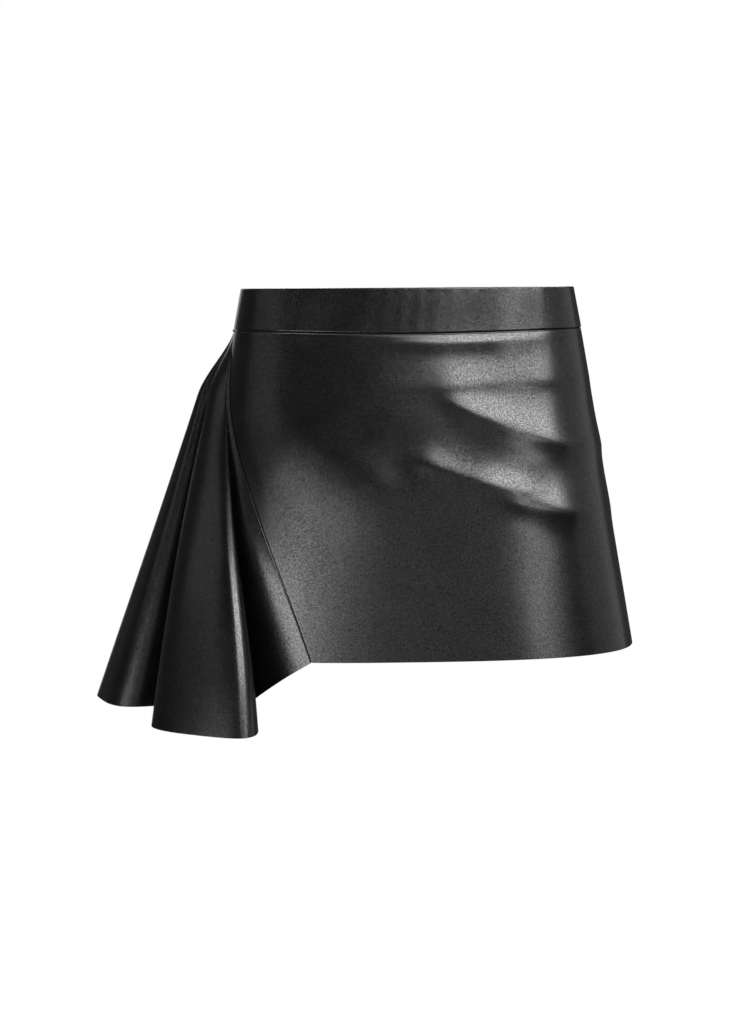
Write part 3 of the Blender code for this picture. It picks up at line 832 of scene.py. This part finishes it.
def pull_mesh():
    """The tab's two faces with the bail's slot in them, closed along the rim and round the slot."""
    half_width = curve_through(PULL_OUTLINE, PULL_COLUMNS.index("half_width"))
    bm = bmesh.new()
    sheets = []
    for face in (1, -1):
        grid = []
        for below in PULL_LEVELS:
            half, z = float(half_width(below)), CROSSBAR_RADIUS - below
            places = [(half * share, face * pull_wall(below, share), z) for share in PULL_SHARES]
            grid.append([bm.verts.new(place) for place in places])
        sheets.append(grid)
    last_row, last_column = len(PULL_LEVELS) - 1, len(PULL_SHARES) - 1
    hole_top, hole_end = PULL_LEVELS.index(PULL_HOLE_TOP), PULL_LEVELS.index(PULL_HOLE_END)
    hole_left, hole_right = PULL_SHARES.index(-PULL_HOLE_SHARE), PULL_SHARES.index(PULL_HOLE_SHARE)
    for face, grid in zip((1, -1), sheets):
        for i in range(last_row):
            for j in range(last_column):
                if hole_top <= i < hole_end and hole_left <= j < hole_right:
                    continue
                corners = (grid[i][j], grid[i + 1][j], grid[i + 1][j + 1], grid[i][j + 1])
                bm.faces.new(corners if face > 0 else corners[::-1])
    front, back = sheets
    rim = border(0, last_row, 0, last_column)
    hole = border(hole_top, hole_end, hole_left, hole_right)
    for loop in (rim, hole):
        for (i, j), (m, n) in zip(loop, loop[1:] + loop[:1]):
            bm.faces.new((front[i][j], back[i][j], back[m][n], front[m][n]))
    bmesh.ops.recalc_face_normals(bm, faces=bm.faces)
    for vert, co in zip(bm.verts, on_band([v.co for v in bm.verts])):
        vert.co = co
    mesh = bpy.data.meshes.new("zip_pull_metal")
    bm.to_mesh(mesh)
    bm.free()
    return mesh


def zip_pull(material):
    """The tab: its rim rounded, its face slightly dished, and a slot for the bail."""
    mesh = pull_mesh()
    mesh.materials.append(material)
    mesh.shade_smooth()
    piece = placed("zip_pull_metal", mesh)
    fine = piece.modifiers.new("round", "SUBSURF")
    fine.levels = fine.render_levels = PULL_ROUNDING
    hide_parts("zip_pull")
    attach(piece, PULL_BODY)


# --- shader maths -----------------------------------------------------------------------------------------
class Wire:
    """A node socket that arithmetic can be written on."""

    def __init__(self, nodes, socket):
        self.nodes = nodes
        self.socket = socket

    def _join(self, operation, first, second):
        return self.nodes.node("ShaderNodeMath", {"operation": operation}, {0: first, 1: second})

    def __add__(self, other):
        return self._join("ADD", self, other)

    def __radd__(self, other):
        return self._join("ADD", other, self)

    def __mul__(self, other):
        return self._join("MULTIPLY", self, other)

    def __rmul__(self, other):
        return self._join("MULTIPLY", other, self)


class Nodes:
    """A node tree under construction."""

    def __init__(self, tree):
        self.tree = tree

    def node(self, kind, settings=None, inputs=None, output=0):
        made = self.tree.nodes.new(kind)
        for key, value in (settings or {}).items():
            if key == "stops":
                self._set_stops(made.color_ramp, value)
            else:
                setattr(made, key, value)
        for key, value in (inputs or {}).items():
            if isinstance(value, Wire):
                self.tree.links.new(value.socket, made.inputs[key])
            else:
                made.inputs[key].default_value = value
        return Wire(self, made.outputs[output])

    @staticmethod
    def _set_stops(ramp, stops):
        while len(ramp.elements) < len(stops):
            ramp.elements.new(0.5)
        for element, (position, value) in zip(ramp.elements, stops):
            element.position = position
            element.color = (value, value, value, 1)


class Look(Nodes):
    """A material under construction: a Principled shader and the nodes that feed it."""

    def __init__(self, name, **constants):
        self.material = bpy.data.materials.new(name)
        self.material.use_nodes = True
        super().__init__(self.material.node_tree)
        self.shader = self.tree.nodes["Principled BSDF"]
        for socket, value in constants.items():
            self.shader.inputs[socket.replace("_", " ")].default_value = value
        self.place = self.node("ShaderNodeTexCoord", output="Object")

    def noise(self, scale, detail=2.0, roughness=0.5, stretch=None):
        place = self.place
        if stretch:
            place = self.node("ShaderNodeMapping", {}, {"Vector": place, "Scale": stretch})
        inputs = {"Vector": place, "Scale": scale, "Detail": detail, "Roughness": roughness}
        return self.node("ShaderNodeTexNoise", {}, inputs)

    def weave(self, direction, scale):
        inputs = {"Vector": self.place, "Scale": scale, "Distortion": 0.0}
        return self.node("ShaderNodeTexWave", {"bands_direction": direction}, inputs)

    def ramp(self, value, *stops):
        return self.node("ShaderNodeValToRGB", {"stops": stops}, {"Fac": value})

    def blend(self, mask, first, second):
        """A colour between two. The colour mix's own sockets are 0, 6 and 7, and its result is 2."""
        inputs = {0: mask, 6: (*first, 1), 7: (*second, 1)}
        return self.node("ShaderNodeMix", {"data_type": "RGBA"}, inputs, output=2)

    def feed(self, **wires):
        for socket, wire in wires.items():
            self.tree.links.new(wire.socket, self.shader.inputs[socket.replace("_", " ")])
        return self

    def bump(self, height, distance):
        return self.feed(Normal=self.node("ShaderNodeBump", {}, {"Height": height, "Distance": distance}))


def black_leather():
    """Smooth black hide: a finish that is glossier on each grain's top, soft waviness, faint mottling."""
    look = Look("black_leather", Specular_IOR_Level=0.25, Coat_Roughness=0.26, Coat_IOR=1.5)
    grain = look.noise(850.0, 2.0, 0.6)
    wave = look.noise(150.0, 2.0, 0.5)
    broad = look.noise(34.0, 3.0, 0.55)
    look.bump(grain * 0.05 + wave * 0.06, 0.001)
    look.feed(Coat_Weight=look.ramp(grain, (0.36, 0.0), (0.64, 1.0)))
    look.feed(Roughness=look.ramp(broad * 0.6 + grain * 0.4, (0.30, 0.19), (0.70, 0.29)))
    dark, light = (0.0018, 0.0018, 0.0018), (0.0032, 0.0031, 0.0030)
    look.feed(Base_Color=look.blend(look.ramp(broad, (0.3, 0.0), (0.7, 1.0)), dark, light))
    return look.material


def flesh_side():
    """The hide's inner side: matt, with short fibres."""
    look = Look("flesh_side", Roughness=0.92, Specular_IOR_Level=0.2)
    look.bump(look.noise(900.0, 4.0, 0.7, stretch=(1.0, 1.0, 0.35)), 0.00015)
    cloud = look.ramp(look.noise(60.0, 2.0), (0.3, 0.0), (0.7, 1.0))
    dark, light = (0.018, 0.017, 0.017), (0.030, 0.029, 0.028)
    return look.feed(Base_Color=look.blend(cloud, dark, light)).material


def sewing_thread():
    """Black thread, slightly fuzzy."""
    look = Look("sewing_thread", Roughness=0.55, Base_Color=(0.012, 0.012, 0.012, 1))
    return look.bump(look.noise(4200.0, 1.0), 0.00004).material


def woven_tape():
    """Black woven polyester, with a fine weave."""
    look = Look("woven_tape", Roughness=0.8, Specular_IOR_Level=0.3)
    weave = look.weave("Z", 420.0) * look.weave("X", 300.0)
    look.bump(weave, 0.00012)
    return look.feed(Base_Color=look.blend(weave, (0.008, 0.008, 0.009), (0.022, 0.022, 0.024))).material


def coil_nylon():
    look = Look("coil_nylon", Roughness=0.35, Base_Color=(0.010, 0.010, 0.011, 1))
    return look.bump(look.noise(2500.0, 1.0), 0.00001).material


def zip_metal():
    """Black nickel: dark, satin, cloudy, and brushed lengthways."""
    look = Look("zip_metal", Metallic=1.0)
    cloud = look.noise(700.0, 3.0)
    look.bump(look.noise(5000.0, 2.0, stretch=(1.0, 1.0, 0.1)), 0.000012)
    look.feed(Roughness=look.ramp(cloud, (0.3, 0.22), (0.7, 0.36)))
    return look.feed(Base_Color=look.blend(cloud, (0.045, 0.045, 0.050), (0.095, 0.094, 0.098))).material


# --- stage, lights and camera -----------------------------------------------------------------------------
WHITE = (1, 1, 1, 1)
DIM_WORLD = 0.05
FRAME_HEIGHT = 1024  # the picture's longer side, in pixels
FOCAL = 2630.0  # in the same pixels
SENSOR = 36.0
CAMERA_DISTANCE = 2.4
CAMERA_TILT = 4.88
CAMERA_YAW = 0.925
CAMERA_ROLL = 0.4
FLOOR = -0.95
FLOOR_RADIUS = 14.0
FLOOR_SEGMENTS = 96


def camera():
    data = bpy.data.cameras.new("camera")
    data.sensor_fit = "AUTO"
    data.sensor_width = SENSOR
    data.lens = FOCAL * SENSOR / FRAME_HEIGHT
    turn = (
        Matrix.Rotation(math.radians(CAMERA_YAW), 4, "Z")
        @ Matrix.Rotation(math.radians(90 - CAMERA_TILT), 4, "X")
        @ Matrix.Rotation(math.radians(-CAMERA_ROLL), 4, "Z")
    )
    made = placed("camera", data)
    made.matrix_world = Matrix.Translation((0, -CAMERA_DISTANCE, BAND_HEIGHT / 2)) @ turn
    bpy.context.scene.camera = made


LIGHT_AIM = Vector((0.0, -0.10, -0.14))
LIGHT_DISTANCE = 2.4
# Azimuth 0 is in front and 90 on the wearer's left. A light's spans are in degrees as seen from the skirt,
# and its glow is its radiance.
LIGHT_COLUMNS = ("name", "azimuth", "elevation", "across", "up", "lean", "glow")
LIGHTS = (
    ("low_left", -50.0, -7.0, 38.0, 26.0, 0.0, 3.7),
    ("low_left_middle", -39.0, -7.0, 44.0, 26.0, 0.0, 2.6),
    ("low_left_wide", -34.0, -7.0, 54.0, 26.0, 0.0, 1.1),
    ("tall_right", 47.5, 5.5, 11.0, 30.0, -58.0, 3.9),
    ("band_glow", 45.0, 17.0, 13.0, 8.0, -20.0, 4.6),
    ("seam_glow", 6.0, 45.0, 22.0, 8.0, 0.0, 7.0),
    ("high_front", 45.5, 36.0, 63.0, 20.0, -10.0, 11.5),
    ("front_fill", 18.0, -2.0, 60.0, 26.0, 0.0, 0.5),
    ("far_left", -84.0, 27.0, 34.0, 26.0, 0.0, 0.45),
    ("far_right", 108.0, 5.0, 54.0, 40.0, 0.0, 0.4),
    ("behind_high", 168.0, 42.0, 46.0, 22.0, 0.0, 6.0),
    ("behind_left", 196.0, 6.0, 24.0, 40.0, 0.0, 0.6),
)


def lights():
    """Area lights round the skirt, all at the same distance, which the camera doesn't see."""
    for row in LIGHTS:
        r = dict(zip(LIGHT_COLUMNS, row))
        data = bpy.data.lights.new(r["name"], "AREA")
        data.shape = "RECTANGLE"
        data.size = 2 * LIGHT_DISTANCE * math.tan(math.radians(r["across"] / 2))
        data.size_y = 2 * LIGHT_DISTANCE * math.tan(math.radians(r["up"] / 2))
        data.energy = r["glow"] * math.pi * data.size * data.size_y
        a, e = math.radians(r["azimuth"]), math.radians(r["elevation"])
        away = Vector((math.sin(a) * math.cos(e), -math.cos(a) * math.cos(e), math.sin(e)))
        lean = Matrix.Rotation(math.radians(r["lean"]), 4, "Z")
        turn = away.to_track_quat("Z", "Y").to_matrix().to_4x4() @ lean
        made = placed(r["name"], data)
        made.matrix_world = Matrix.Translation(LIGHT_AIM + away * LIGHT_DISTANCE) @ turn
        made.visible_camera = False


def world():
    """White where the camera sees it, and dim where the leather does."""
    made = bpy.data.worlds.new("studio")
    made.use_nodes = True
    nodes = Nodes(made.node_tree)
    dim = nodes.tree.nodes["Background"]
    dim.inputs["Color"].default_value = WHITE
    dim.inputs["Strength"].default_value = DIM_WORLD
    bright = nodes.node("ShaderNodeBackground", {}, {"Color": WHITE, "Strength": 1.0})
    seen = nodes.node("ShaderNodeLightPath", output="Is Camera Ray")
    mixed = nodes.node("ShaderNodeMixShader", {}, {0: seen, 1: Wire(nodes, dim.outputs[0]), 2: bright})
    nodes.tree.links.new(mixed.socket, nodes.tree.nodes["World Output"].inputs["Surface"])
    bpy.context.scene.world = made
    bpy.context.scene.view_settings.view_transform = "Standard"


def floor():
    """A plain floor that glows white evenly, so that it runs into the white behind it."""
    look = Look("pale_floor", Roughness=0.9, Specular_IOR_Level=0.0, Base_Color=(0, 0, 0, 1))
    look.shader.inputs["Emission Color"].default_value = WHITE
    look.shader.inputs["Emission Strength"].default_value = 1.0
    bm = bmesh.new()
    bmesh.ops.create_circle(bm, cap_ends=True, segments=FLOOR_SEGMENTS, radius=FLOOR_RADIUS)
    mesh = bpy.data.meshes.new("floor")
    bm.to_mesh(mesh)
    bm.free()
    mesh.materials.append(look.material)
    made = placed("floor", mesh)
    made.location.z = FLOOR
    made.visible_glossy = made.visible_diffuse = False


# --- making -----------------------------------------------------------------------------------------------
def main():
    camera()
    world()
    lights()
    floor()
    hide = (black_leather(), flesh_side())
    tape, metal = woven_tape(), zip_metal()
    panel("front_panel_leather", "front_panel", front_edges, FRONT_WIDTH, FRONT_CREASES, hide)
    left, right = (left_back_edges, BACK_LEFT_WIDTH), (right_back_edges, BACK_RIGHT_WIDTH)
    panel("back_panel_left_leather", "back_panel_left", *left, BACK_CREASES, hide)
    panel("back_panel_right_leather", "back_panel_right", *right, BACK_CREASES, hide)
    flounce("flounce_leather", "flounce", hide)
    gap = turn_for(SEAM_GAP / 2, 0.0, 0.0)
    band("waistband_front_leather", "waistband_front", gap, LEFT_SIDE - gap, hide)
    band("waistband_back_left_leather", "waistband_back_left", LEFT_SIDE + gap, CENTRE_BACK - gap, hide)
    band("waistband_back_right_leather", "waistband_back_right", CENTRE_BACK + gap, RIGHT_SIDE - gap, hide)
    waist_stitches(sewing_thread())
    seam_stays((tape, tape))
    for side in (1, -1):
        zip_tape(side, (tape, tape))
    zip_coil(coil_nylon())
    zip_slider(metal)
    zip_pull(metal)


main()
